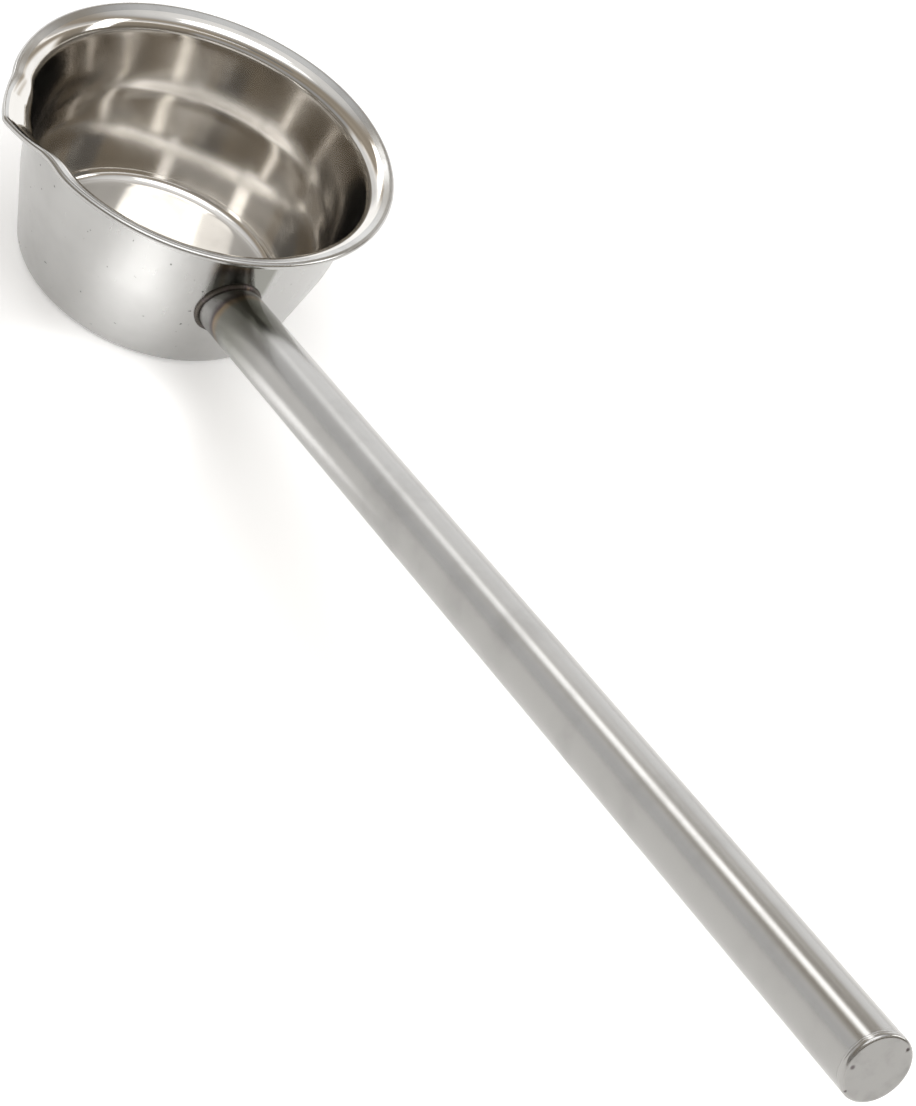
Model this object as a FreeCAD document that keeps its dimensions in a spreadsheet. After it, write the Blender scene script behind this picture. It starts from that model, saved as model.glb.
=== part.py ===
import FreeCAD, Part
import math
import os
import Sketcher

# Long-handled melting pot: a pressed steel bowl with a flared, rolled rim and a
# pulled pouring lip, a straight tube handle butt-welded to the bowl's wall, and a
# disc welded into the tube's far end.
#
# Frame: origin at the centre of the bowl's underside, +Z up, the handle leaves
# towards +X and rises, and the pouring lip points to -Y. Millimetres and degrees.

DIMENSIONS = {
    # bowl
    "bowl_height": 69.0,         # underside to the crest of the rolled rim
    "rim_radius": 72.5,          # outermost edge of the rolled rim
    "sheet": 0.8,                # steel sheet of the bowl
    "base_corner": 6.0,          # outside radius between base and wall
    "lower_taper": 13.8,         # slope of the lower wall, from upright
    "bend_radius": 60.0,         # outside radius of the bend between lower and upper wall
    "knee_radius": 60.9,         # outside radius where the upper wall starts
    "knee_height": 38.5,         # height of that place
    "wall_taper": 7.5,           # slope of the upper wall, from upright
    "flare_radius": 7.0,         # outside radius of the bend into the rim
    "rim_slope": 22.0,           # slope of the rim's face, from level
    "bead_radius": 1.3,          # rolled edge of the rim
    # pouring lip
    "lip_reach": 79.0,           # axis to the tip of the lip
    "lip_edge": 2.9,             # width of the lip's edge at the tip
    "lip_half_width": 17.0,      # half the width where the lip leaves the rim
    "lip_depth": 15.0,           # how far the lip runs down the wall
    "lip_tip_round": 3.0,        # rounding of the tip, seen from above
    # handle
    "handle_rise": 17.6,         # slope of the handle, from level
    "handle_root_height": 37.1,  # height where its axis meets the wall
    "handle_length": 453.0,      # along the axis, wall to the outer face of the cap
    "tube_radius": 11.0,         # 22 mm tube
    "tube_wall": 1.0,
    # welds and cap
    "root_weld_leg": 1.8,        # leg of the bead round the handle's root
    "cap_thickness": 2.0,
    "cap_round": 1.0,            # rounding of the cap's outer edge
    "cap_spigot_length": 4.0,    # part of the cap that sits inside the tube
    "cap_clearance": 0.1,        # radial gap between the spigot and the tube
    "seam_depth": 0.6,           # depth of the groove that the cap's weld fills
}

doc = FreeCAD.newDocument("MeltingPot")
sheet = doc.addObject("Spreadsheet::Sheet", "Dimensions")
for row, (alias, value) in enumerate(DIMENSIONS.items(), start=1):
    sheet.set(f"A{row}", alias)
    sheet.set(f"B{row}", str(value))
    sheet.setAlias(f"B{row}", alias)
doc.recompute()


def size(alias):
    """Value of a driving dimension, read from the spreadsheet."""
    return float(sheet.get(alias))


def on_sheet(expression):
    """Expression with each $alias written as a cell of the spreadsheet."""
    return expression.replace("$", "Dimensions.")


def bind(target, prop, expression):
    target.setExpression(prop, on_sheet(expression))


def origin_plane(body, role):
    return next(item for item in body.Origin.OriginFeatures if item.Role == role)


def new_sketch(body, name, plane, height=None):
    """Sketch on one of the body's own origin planes, raised by an expression."""
    sketch = body.newObject("Sketcher::SketchObject", name)
    sketch.AttachmentSupport = [(origin_plane(body, plane), "")]
    sketch.MapMode = "FlatFace"
    if height:
        bind(sketch, "AttachmentOffset.Base.z", height)
    return sketch


def dimension(sketch, kind, *where, name, expression):
    """Named dimension of a sketch, bound to the spreadsheet."""
    value = float(sketch.evalExpression(on_sheet(expression)))
    if kind == "Angle":
        value = math.radians(value)
    index = sketch.addConstraint(Sketcher.Constraint(kind, *where, value))
    sketch.renameConstraint(index, name)
    bind(sketch, f"Constraints.{name}", expression)


def vector(x, y):
    return FreeCAD.Vector(x, y, 0)


def polar(centre, radius, angle):
    return vector(centre.x + radius * math.cos(angle), centre.y + radius * math.sin(angle))


def line(start, end):
    return Part.LineSegment(start, end)


def arc(centre, radius, start, end):
    """Arc counter-clockwise between two angles."""
    normal = FreeCAD.Vector(0, 0, 1)
    return Part.ArcOfCircle(Part.Circle(centre, normal, radius), start, end)


def cone_radius(height):
    """Expression: radius of the upper wall's cone at a height, outside."""
    return f"($knee_radius + ({height} - $knee_height) * tan($wall_taper))"


# ---------------------------------------------------------------- bowl

def wall_angles():
    return (math.radians(size(alias)) for alias in ("wall_taper", "lower_taper", "rim_slope"))


def wall_centres():
    """Centres of the profile's rounds, which its outside and inside share."""
    taper, lower, slope = wall_angles()
    bend = vector(size("knee_radius") - size("bend_radius") * math.cos(taper),
                  size("knee_height") + size("bend_radius") * math.sin(taper))
    foot = polar(bend, size("bend_radius"), -lower)
    # The corner's centre is one radius above the base and one inside the lower wall.
    wall_out = foot.x - (foot.y - size("base_corner")) * math.tan(lower)
    corner = vector(wall_out - size("base_corner") / math.cos(lower), size("base_corner"))
    bead = vector(size("rim_radius") - size("bead_radius"), size("bowl_height") - size("bead_radius"))
    # The flare's centre is one radius outside the wall and one below the rim's underside.
    wall_normal = vector(math.cos(taper), -math.sin(taper))
    rim_normal = vector(-math.sin(slope), math.cos(slope))
    knee = vector(size("knee_radius"), size("knee_height"))
    from_wall = size("flare_radius") + knee.dot(wall_normal)
    from_rim = size("bead_radius") - size("sheet") - size("flare_radius") + bead.dot(rim_normal)
    spread = wall_normal.x * rim_normal.y - wall_normal.y * rim_normal.x
    flare = vector((from_wall * rim_normal.y - from_rim * wall_normal.y) / spread,
                   (wall_normal.x * from_rim - rim_normal.x * from_wall) / spread)
    return corner, bend, flare, bead


def wall_profile(inset):
    """Base, corner, lower wall, bend, upper wall and flare of the bowl, moved inwards by inset."""
    corner, bend, flare, _ = wall_centres()
    taper, lower, slope = wall_angles()
    corner_radius = size("base_corner") - inset
    bend_radius = size("bend_radius") - inset
    flare_radius = size("flare_radius") + inset
    return [
        line(vector(0, inset), vector(corner.x, inset)),
        arc(corner, corner_radius, -math.pi / 2, -lower),
        line(polar(corner, corner_radius, -lower), polar(bend, bend_radius, -lower)),
        arc(bend, bend_radius, -lower, -taper),
        line(polar(bend, bend_radius, -taper), polar(flare, flare_radius, math.pi - taper)),
        arc(flare, flare_radius, math.pi / 2 + slope, math.pi - taper),
    ]


def constrain_wall(sketch, inset):
    """Tangencies and sizes that the outside and the inside of the bowl share."""
    base, corner, lower, bend, wall, flare = range(6)
    sketch.addConstraint(Sketcher.Constraint("Horizontal", base))
    for here, after in ((base, corner), (corner, lower), (lower, bend), (bend, wall)):
        sketch.addConstraint(Sketcher.Constraint("Tangent", here, 2, after, 1))
    # The flare bends the other way, so its arc runs backwards and starts at the rim.
    sketch.addConstraint(Sketcher.Constraint("Tangent", wall, 2, flare, 2))
    dimension(sketch, "Radius", corner, name="corner", expression=f"$base_corner - {inset}")
    dimension(sketch, "Radius", bend, name="bend", expression=f"$bend_radius - {inset}")
    dimension(sketch, "Radius", flare, name="flare", expression=f"$flare_radius + {inset}")
    dimension(sketch, "Angle", lower, name="lower_taper", expression="90 - $lower_taper")
    dimension(sketch, "Angle", wall, name="taper", expression="90 - $wall_taper")
    dimension(sketch, "DistanceX", -1, 1, wall, 1, name="knee_out",
              expression=f"$knee_radius - {inset} * cos($wall_taper)")
    dimension(sketch, "DistanceY", -1, 1, wall, 1, name="knee_up",
              expression=f"$knee_height + {inset} * sin($wall_taper)")


def outside_sketch(body):
    """Outline of the bowl as if it were solid, with the rim's rolled edge."""
    slope = math.radians(size("rim_slope"))
    _, _, flare, bead = wall_centres()
    radius = size("bead_radius")
    under = polar(flare, size("flare_radius"), math.pi / 2 + slope)
    above_centre = radius - size("sheet")
    meet = math.pi + slope - math.asin(above_centre / radius)
    sketch = new_sketch(body, "bowl_outside", "XZ_Plane")
    crest = vector(bead.x, size("bowl_height"))
    top = vector(0, size("bowl_height"))
    profile = wall_profile(0)
    profile += [
        line(under, polar(bead, radius, meet)),
        arc(bead, radius, meet, 2.5 * math.pi),
        line(crest, top),
        line(top, vector(0, 0)),
    ]
    sketch.addGeometry(profile, False)
    base, _, _, _, _, flare_arc, underside, rolled, lid, axis = range(len(profile))
    for here, after in ((lid, axis), (axis, base)):
        sketch.addConstraint(Sketcher.Constraint("Coincident", here, 2, after, 1))
    sketch.addConstraint(Sketcher.Constraint("Coincident", base, 1, -1, 1))
    sketch.addConstraint(Sketcher.Constraint("Coincident", underside, 2, rolled, 1))
    sketch.addConstraint(Sketcher.Constraint("Vertical", axis))
    sketch.addConstraint(Sketcher.Constraint("Horizontal", lid))
    constrain_wall(sketch, "0")
    sketch.addConstraint(Sketcher.Constraint("Tangent", flare_arc, 1, underside, 1))
    sketch.addConstraint(Sketcher.Constraint("Tangent", rolled, 2, lid, 1))
    dimension(sketch, "Angle", underside, name="slope", expression="$rim_slope")
    dimension(sketch, "Radius", rolled, name="bead", expression="$bead_radius")
    dimension(sketch, "Distance", rolled, 3, underside, name="bead_hang",
              expression="$bead_radius - $sheet")
    dimension(sketch, "DistanceX", -1, 1, rolled, 3, name="bead_out",
              expression="$rim_radius - $bead_radius")
    dimension(sketch, "DistanceY", -1, 1, lid, 2, name="height", expression="$bowl_height")
    return sketch


def inside_sketch(body):
    """Outline of what the bowl holds, carried on above the rim's face."""
    slope = math.radians(size("rim_slope"))
    _, _, flare, bead = wall_centres()
    inset = size("sheet")
    face_start = polar(flare, size("flare_radius") + inset, math.pi / 2 + slope)
    run = size("rim_radius") - face_start.x
    face_end = vector(size("rim_radius"), face_start.y + run * math.tan(slope))
    above = size("bowl_height") + size("flare_radius")
    corner = vector(size("rim_radius"), above)
    top = vector(0, above)
    sketch = new_sketch(body, "bowl_inside", "XZ_Plane")
    profile = wall_profile(inset)
    profile += [
        line(face_start, face_end),
        line(face_end, corner),
        line(corner, top),
        line(top, vector(0, inset)),
    ]
    sketch.addGeometry(profile, False)
    base, _, _, _, _, flare_arc, face, rise, lid, axis = range(len(profile))
    rolled = sketch.addGeometry(
        Part.Circle(bead, FreeCAD.Vector(0, 0, 1), size("bead_radius")), True)
    for here, after in ((face, rise), (rise, lid), (lid, axis), (axis, base)):
        sketch.addConstraint(Sketcher.Constraint("Coincident", here, 2, after, 1))
    sketch.addConstraint(Sketcher.Constraint("PointOnObject", base, 1, -2))
    dimension(sketch, "DistanceY", -1, 1, base, 1, name="floor", expression="$sheet")
    sketch.addConstraint(Sketcher.Constraint("Vertical", axis))
    sketch.addConstraint(Sketcher.Constraint("Vertical", rise))
    sketch.addConstraint(Sketcher.Constraint("Horizontal", lid))
    constrain_wall(sketch, "$sheet")
    sketch.addConstraint(Sketcher.Constraint("Tangent", flare_arc, 1, face, 1))
    sketch.addConstraint(Sketcher.Constraint("Tangent", face, rolled))
    dimension(sketch, "Radius", rolled, name="bead", expression="$bead_radius")
    dimension(sketch, "DistanceX", -1, 1, rolled, 3, name="bead_out",
              expression="$rim_radius - $bead_radius")
    dimension(sketch, "DistanceY", -1, 1, rolled, 3, name="bead_up",
              expression="$bowl_height - $bead_radius")
    dimension(sketch, "Angle", face, name="slope", expression="$rim_slope")
    dimension(sketch, "DistanceX", -1, 1, rise, 1, name="face_out", expression="$rim_radius")
    dimension(sketch, "DistanceY", -1, 1, lid, 2, name="above",
              expression="$bowl_height + $flare_radius")
    return sketch


def lip_section(body, name, side_out, half_width, tip, height):
    """Level cut through the pouring lip: a blunt wedge that points to -Y."""
    sketch = new_sketch(body, name, "XY_Plane", height)
    half, side, reach = (float(sketch.evalExpression(on_sheet(text)))
                         for text in (half_width, side_out, tip))
    back = size("knee_radius") - 2 * size("base_corner")
    tip_round = size("lip_tip_round")
    centre = vector(0, tip_round - reach)
    # The wedge's flanks touch the tip's rounding from the points (half, -side).
    gap = math.hypot(half, centre.y + side)
    lean = math.atan2(-side - centre.y, half) - math.acos(tip_round / gap)
    touch = polar(centre, tip_round, lean)
    mirrored = vector(-touch.x, touch.y)
    sketch.addGeometry([
        line(vector(-half, -back), vector(half, -back)),
        line(vector(half, -back), vector(half, -side)),
        line(vector(half, -side), touch),
        arc(centre, tip_round, -math.pi - lean, lean),
        line(mirrored, vector(-half, -side)),
        line(vector(-half, -side), vector(-half, -back)),
    ], False)
    rear, right, right_flank, nose, left_flank, left = range(6)
    for here, end, after, start in ((rear, 2, right, 1), (right, 2, right_flank, 1),
                                    (left_flank, 2, left, 1), (left, 2, rear, 1)):
        sketch.addConstraint(Sketcher.Constraint("Coincident", here, end, after, start))
    sketch.addConstraint(Sketcher.Constraint("Tangent", right_flank, 2, nose, 2))
    sketch.addConstraint(Sketcher.Constraint("Tangent", left_flank, 1, nose, 1))
    sketch.addConstraint(Sketcher.Constraint("Vertical", right))
    sketch.addConstraint(Sketcher.Constraint("Symmetric", rear, 1, rear, 2, -2))
    sketch.addConstraint(Sketcher.Constraint("Symmetric", right, 2, left, 1, -2))
    sketch.addConstraint(Sketcher.Constraint("PointOnObject", nose, 3, -2))
    dimension(sketch, "Radius", nose, name="nose", expression="$lip_tip_round")
    dimension(sketch, "DistanceX", -1, 1, right, 2, name="half_width", expression=half_width)
    dimension(sketch, "DistanceY", right, 2, -1, 1, name="side", expression=side_out)
    dimension(sketch, "DistanceY", rear, 2, -1, 1, name="back",
              expression="$knee_radius - 2 * $base_corner")
    dimension(sketch, "DistanceY", nose, 3, -1, 1, name="reach",
              expression=f"{tip} - $lip_tip_round")
    return sketch


def lip_sections(body, side, inset, edge):
    """Cuts through the lip from the rim down; inset is the sheet, edge the width at the rim."""
    sections = []
    steps = 4
    narrowing = 0.75
    for step in range(steps + 1):
        share = step / steps
        fade = (1 - share) ** 2
        height = f"$bowl_height - {share} * $lip_depth"
        wall = cone_radius(height)
        pull = f"($lip_reach + 1 - {cone_radius('$bowl_height')}) * {fade}"
        width = f"$lip_half_width * {1 - narrowing * share}"
        root = "($rim_radius - $bead_radius / 2)" if step == 0 else wall
        thickness = edge if step == 0 else inset
        sections.append(lip_section(
            body, f"lip_{side}_{step}",
            side_out=f"sqrt({root}^2 - ({width})^2) - {thickness}",
            half_width=f"{width} - {inset}",
            tip=f"{wall} - 1 + {pull} - {thickness}",
            height=height))
    return sections


def make_bowl():
    body = doc.addObject("PartDesign::Body", "bowl")
    body.Label = "bowl"
    outside = outside_sketch(body)
    solid = body.newObject("PartDesign::Revolution", "bowl_solid")
    solid.Profile = outside
    solid.ReferenceAxis = (outside, ["V_Axis"])
    solid.Angle = 360
    doc.recompute()
    upper = lip_sections(body, "outside", "0", "0")
    lip = body.newObject("PartDesign::AdditiveLoft", "lip_solid")
    lip.Profile = upper[0]
    lip.Sections = upper[1:]
    doc.recompute()
    inside = inside_sketch(body)
    hollow = body.newObject("PartDesign::Groove", "bowl_hollow")
    hollow.Profile = inside
    hollow.ReferenceAxis = (inside, ["V_Axis"])
    hollow.Angle = 360
    doc.recompute()
    lower = lip_sections(body, "inside", "$sheet", "$lip_edge")
    channel = body.newObject("PartDesign::SubtractiveLoft", "lip_channel")
    channel.Profile = lower[0]
    channel.Sections = lower[1:]
    body.Tip = channel
    return body


# ---------------------------------------------------------------- handle

def lay_along_handle(item):
    """Put an object's origin where the handle's axis meets the wall, +Z along the handle."""
    item.Placement = FreeCAD.Placement(
        FreeCAD.Vector(0, 0, 0), FreeCAD.Rotation(FreeCAD.Vector(0, 1, 0), 90 - size("handle_rise")))
    bind(item, "Placement.Rotation.Angle", "90 - $handle_rise")
    bind(item, "Placement.Base.x", cone_radius("$handle_root_height"))
    bind(item, "Placement.Base.z", "$handle_root_height")


def turned(name, corners, rounded=None):
    """Body turned about its own Z from a closed outline.

    corners are pairs of expressions, out from the axis and along it; rounded is the
    number of the corner where a quarter round begins, which ends at the next one.
    """
    body = doc.addObject("PartDesign::Body", name)
    sketch = new_sketch(body, f"{name}_outline", "XZ_Plane")
    points = [vector(*(float(sketch.evalExpression(on_sheet(text))) for text in pair))
              for pair in corners]
    count = len(points)
    for index, start in enumerate(points):
        end = points[(index + 1) % count]
        if index == rounded:
            sketch.addGeometry(arc(vector(end.x, start.y), start.x - end.x, 0, math.pi / 2), False)
        else:
            sketch.addGeometry(line(start, end), False)
    for index in range(count):
        joint = "Tangent" if index + 1 == rounded else "Coincident"
        sketch.addConstraint(Sketcher.Constraint(joint, index, 2, (index + 1) % count, 1))
    for index, (out, along) in enumerate(corners):
        dimension(sketch, "DistanceX", -1, 1, index, 1, name=f"out_{index}", expression=out)
        dimension(sketch, "DistanceY", -1, 1, index, 1, name=f"along_{index}", expression=along)
    turn = body.newObject("PartDesign::Revolution", f"{name}_turn")
    turn.Profile = sketch
    turn.ReferenceAxis = (sketch, ["V_Axis"])
    turn.Angle = 360
    body.Tip = turn
    lay_along_handle(body)
    return body


def boolean(kind, name, base, tool):
    item = doc.addObject(f"Part::{kind}", name)
    item.Base = base
    item.Tool = tool
    doc.recompute()
    return item


def wall_form():
    """The bowl's outside as a solid, which shapes what is welded against it."""
    body = doc.addObject("PartDesign::Body", "wall_form")
    outline = outside_sketch(body)
    turn = body.newObject("PartDesign::Revolution", "wall_form_turn")
    turn.Profile = outline
    turn.ReferenceAxis = (outline, ["V_Axis"])
    turn.Angle = 360
    body.Tip = turn
    doc.recompute()
    return body


BORE = "$tube_radius - $tube_wall"
TUBE_END = "$handle_length - $cap_thickness"


def make_handle_tube(wall):
    """Tube whose root is cut to the bowl's wall; its far end is bevelled for the seam."""
    stock = turned("tube_stock", [
        (BORE, "-$tube_radius"),
        ("$tube_radius", "-$tube_radius"),
        ("$tube_radius", f"{TUBE_END} - $seam_depth"),
        ("$tube_radius - $seam_depth", TUBE_END),
        (BORE, TUBE_END),
    ])
    tube = boolean("Cut", "handle_tube", stock, wall)
    tube.Label = "handle_tube"
    return tube


def make_end_cap():
    """Pressed disc with a skirt that sits in the tube."""
    skirt = f"{BORE} - $cap_clearance"
    depth = f"{TUBE_END} - $cap_spigot_length"
    cap = turned("end_cap", [
        ("0", TUBE_END),
        (f"{skirt} - $tube_wall", TUBE_END),
        (f"{skirt} - $tube_wall", depth),
        (skirt, depth),
        (skirt, TUBE_END),
        ("$tube_radius - $seam_depth", TUBE_END),
        ("$tube_radius", f"{TUBE_END} + $seam_depth"),
        ("$tube_radius", "$handle_length - $cap_round"),
        ("$tube_radius - $cap_round", "$handle_length"),
        ("0", "$handle_length"),
    ], rounded=7)
    cap.Label = "end_cap"
    return cap


def make_end_cap_weld():
    """Seam that fills the groove between tube and cap, ground flush."""
    weld = turned("end_cap_weld", [
        ("$tube_radius - $seam_depth", TUBE_END),
        ("$tube_radius", f"{TUBE_END} - $seam_depth"),
        ("$tube_radius", f"{TUBE_END} + $seam_depth"),
    ])
    weld.Label = "end_cap_weld"
    return weld


def make_root_weld(wall):
    """Bead in the corner between the bowl's wall and the tube, all the way round."""
    core = turned("tube_core", [
        ("0", "-$tube_radius"),
        ("$tube_radius", "-$tube_radius"),
        ("$tube_radius", "$tube_radius * 2"),
        ("0", "$tube_radius * 2"),
    ])
    joined = boolean("Fuse", "wall_and_tube", wall, core)
    axis_point = core.Placement.Base
    # Only the corner's own edges have their middle this close to the handle's root.
    near = 1.5 * size("tube_radius")
    corner_edges = [
        number for number, edge in enumerate(joined.Shape.Edges, start=1)
        if edge.CenterOfMass.distanceToPoint(axis_point) < near
        and edge.distToShape(core.Shape)[0] < 0.01
        and edge.BoundBox.XMax < size("rim_radius")]
    beaded = doc.addObject("Part::Chamfer", "beaded_corner")
    beaded.Base = joined
    leg = size("root_weld_leg")
    beaded.Edges = [(number, leg, leg) for number in corner_edges]
    doc.recompute()
    without_wall = boolean("Cut", "bead_and_tube", beaded, wall)
    weld = boolean("Cut", "root_weld", without_wall, core)
    weld.Label = "root_weld"
    return weld


def main():
    bowl = make_bowl()
    wall = wall_form()
    pieces = [
        bowl,
        make_handle_tube(wall),
        make_root_weld(wall),
        make_end_cap(),
        make_end_cap_weld(),
    ]
    doc.recompute()
    for item in doc.Objects:
        if "Invalid" in item.State or "Error" in item.State:
            raise RuntimeError(f"{item.Name} did not build: {item.State}")
    for piece in pieces:
        shape = piece.Shape
        if shape.isNull() or not shape.isValid() or len(shape.Solids) != 1:
            raise RuntimeError(f"{piece.Label} is not one valid solid")
    os.makedirs("parts", exist_ok=True)
    for piece in pieces:
        piece.Shape.exportStep(f"parts/{piece.Label}.step")
        print(f"{piece.Label}: {piece.Shape.Volume / 1000:.2f} cm3")


main()
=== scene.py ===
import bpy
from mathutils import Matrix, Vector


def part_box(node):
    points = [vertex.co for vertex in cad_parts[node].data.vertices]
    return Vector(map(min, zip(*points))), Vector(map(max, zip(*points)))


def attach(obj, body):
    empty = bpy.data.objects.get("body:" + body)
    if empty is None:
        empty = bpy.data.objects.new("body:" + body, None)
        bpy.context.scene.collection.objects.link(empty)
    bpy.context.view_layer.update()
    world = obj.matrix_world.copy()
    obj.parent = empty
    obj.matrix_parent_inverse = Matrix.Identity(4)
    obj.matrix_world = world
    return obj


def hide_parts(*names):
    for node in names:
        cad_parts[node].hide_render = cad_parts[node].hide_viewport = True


bl_info = {
    "name": "Melting Pot Finish",
    "version": (1, 0, 0),
    "blender": (4, 5, 0),
    "location": "3D View > Sidebar > Melting Pot",
    "description": "Finishes a long-handled steel melting pot round its packed design",
    "category": "Object",
}

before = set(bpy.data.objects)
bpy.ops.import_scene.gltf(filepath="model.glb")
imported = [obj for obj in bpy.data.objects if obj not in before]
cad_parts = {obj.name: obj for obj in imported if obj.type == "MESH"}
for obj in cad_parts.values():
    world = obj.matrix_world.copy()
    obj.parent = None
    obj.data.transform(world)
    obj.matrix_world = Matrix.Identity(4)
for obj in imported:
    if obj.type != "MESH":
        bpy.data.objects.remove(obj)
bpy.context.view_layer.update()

import math

import bmesh
import bpy
from bpy.props import FloatProperty, FloatVectorProperty, IntProperty, PointerProperty
from mathutils import Matrix, Vector

BODY = "root"
BOWL_LOW, BOWL_HIGH = (Vector(corner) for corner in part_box("bowl"))
TUBE_HIGH = Vector(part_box("handle_tube")[1])
MM = 0.001
SHARP = math.radians(40)    # an edge that turns more than this is shaded sharp
TUBE_STEPS = 144            # faces round the tube and its seam
CAP_STEPS = 200             # faces round the cap


# ---------------------------------------------------------------- settings

def length(name, description, default):
    return FloatProperty(name=name, description=description, default=default,
                         unit="LENGTH", subtype="DISTANCE", precision=5)


def angle(name, description, default):
    return FloatProperty(name=name, description=description, default=math.radians(default),
                         unit="ROTATION", subtype="ANGLE")


def colour(name, description, default):
    return FloatVectorProperty(name=name, description=description, default=default,
                               size=3, min=0.0, max=1.0, subtype="COLOR")


def share(name, description, default):
    return FloatProperty(name=name, description=description, default=default,
                         min=0.0, max=1.0, subtype="FACTOR")


class BowlSizes(bpy.types.PropertyGroup):
    """Sizes of the pressed bowl."""
    rim_radius: length("Rim radius", "Outermost edge of the rolled rim", BOWL_HIGH.x)
    height: length("Height", "Underside to the crest of the rim", BOWL_HIGH.z)
    sheet: length("Sheet", "Thickness of the steel", 0.8 * MM)
    base_corner: length("Base corner", "Outside radius between base and wall", 6.0 * MM)
    lower_taper: angle("Lower taper", "Slope of the lower wall from upright", 13.8)
    bend_radius: length("Bend radius", "Outside radius of the bend between the walls", 60.0 * MM)
    knee_radius: length("Knee radius", "Outside radius where the upper wall starts", 60.9 * MM)
    knee_height: length("Knee height", "Height of that place", 38.5 * MM)
    wall_taper: angle("Wall taper", "Slope of the upper wall from upright", 7.5)
    flare_radius: length("Flare radius", "Outside radius of the bend into the rim", 7.0 * MM)
    rim_slope: angle("Rim slope", "Slope of the rim's face from level", 22.0)
    bead_radius: length("Bead radius", "Rolled edge of the rim", 1.3 * MM)
    turns: IntProperty(name="Steps round", description="Faces round the bowl", default=320, min=64)


class LipSizes(bpy.types.PropertyGroup):
    """Sizes of the pouring lip, which is pulled out of the rim towards -Y."""
    reach: length("Reach", "Axis to the tip of the lip", -BOWL_LOW.y)
    edge: length("Edge", "Width of the lip's edge at its tip", 2.9 * MM)
    half_width: length("Half width", "Half the width where the lip leaves the rim", 16.5 * MM)
    depth: length("Depth", "How far the pull runs down the wall", 15.0 * MM)
    tip_round: length("Tip round", "Rounding of the tip seen from above", 2.2 * MM)
    dip: length("Dip", "How far the rim is drawn in beside the lip, handle side", 1.5 * MM)
    swell: length("Swell", "How far the rim stands out on the lip's other side", 0.6 * MM)
    lean: share("Lean", "How much wider the pull is on the side away from the handle", 0.45)


class HandleSizes(bpy.types.PropertyGroup):
    """Sizes of the tube, its cap and its welds."""
    rise: angle("Rise", "Slope of the handle from level", 17.6)
    root_height: length("Root height", "Height where its axis meets the wall", 37.1 * MM)
    run: length("Length", "Along the axis, wall to the cap's outer face", 453.0 * MM)
    radius: length("Radius", "Outside of the tube", TUBE_HIGH.y)
    wall: length("Tube wall", "Thickness of the tube", 1.0 * MM)
    cap_thickness: length("Cap thickness", "Edge of the cap, seam to outer face", 2.0 * MM)
    cap_round: length("Cap round", "Rounding of the cap's outer edge", 1.0 * MM)
    weld_radius: length("Weld radius", "Section of the bead round the root", 1.0 * MM)
    ripple_pitch: length("Ripple pitch", "Distance between the bead's ripples", 1.1 * MM)
    ripple_height: length("Ripple height", "How proud each ripple stands", 0.10 * MM)


class SteelColours(bpy.types.PropertyGroup):
    """Colours of the steel and of its heat tint."""
    inside: colour("Polished steel", "Inside of the bowl", (0.66, 0.64, 0.61))
    outside: colour("Satin steel", "Outside of the bowl", (0.50, 0.497, 0.487))
    tube: colour("Tube steel", "Handle and cap", (0.385, 0.38, 0.37))
    # this tint also paints the handle's dark reflection on the outside of the bowl
    smoke_and_reflection: colour("Smoke tint", "Outer grey heat tint on the handle", (0.24, 0.24, 0.215))
    straw: colour("Straw tint", "Straw heat tint", (0.33, 0.25, 0.17))
    # this tint also paints the shade in the cap's pits
    violet: colour("Violet tint", "Violet heat tint nearer the weld", (0.12, 0.10, 0.105))
    scale: colour("Weld scale", "Dark scale on the weld", (0.085, 0.075, 0.065))


class StageSizes(bpy.types.PropertyGroup):
    """Floor and room."""
    floor_half: length("Floor half width", "Half the width of the floor", 10.0)
    floor_tone: colour("Floor", "Colour of the floor", (0.90, 0.90, 0.90))
    floor_glow: share("Floor glow", "Light that the floor gives off by itself", 0.33)
    room_tone: colour("Room", "Tint of the room away from its patches", (1.0, 0.88, 0.72))


# ---------------------------------------------------------------- node graphs

class Number:
    """A number socket of a node tree that takes part in Python arithmetic."""

    def __init__(self, graph, socket):
        self.graph = graph
        self.socket = socket

    def __add__(self, other):
        return self.graph.maths("ADD", self, other)

    def __sub__(self, other):
        return self.graph.maths("SUBTRACT", self, other)

    def __rsub__(self, other):
        return self.graph.maths("SUBTRACT", other, self)

    def __mul__(self, other):
        return self.graph.maths("MULTIPLY", self, other)

    def __truediv__(self, other):
        return self.graph.maths("DIVIDE", self, other)

    def __rtruediv__(self, other):
        return self.graph.maths("DIVIDE", other, self)

    def __pow__(self, other):
        return self.graph.maths("POWER", self, other)

    def __neg__(self):
        return self.graph.maths("MULTIPLY", self, -1.0)

    __radd__ = __add__
    __rmul__ = __mul__


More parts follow.
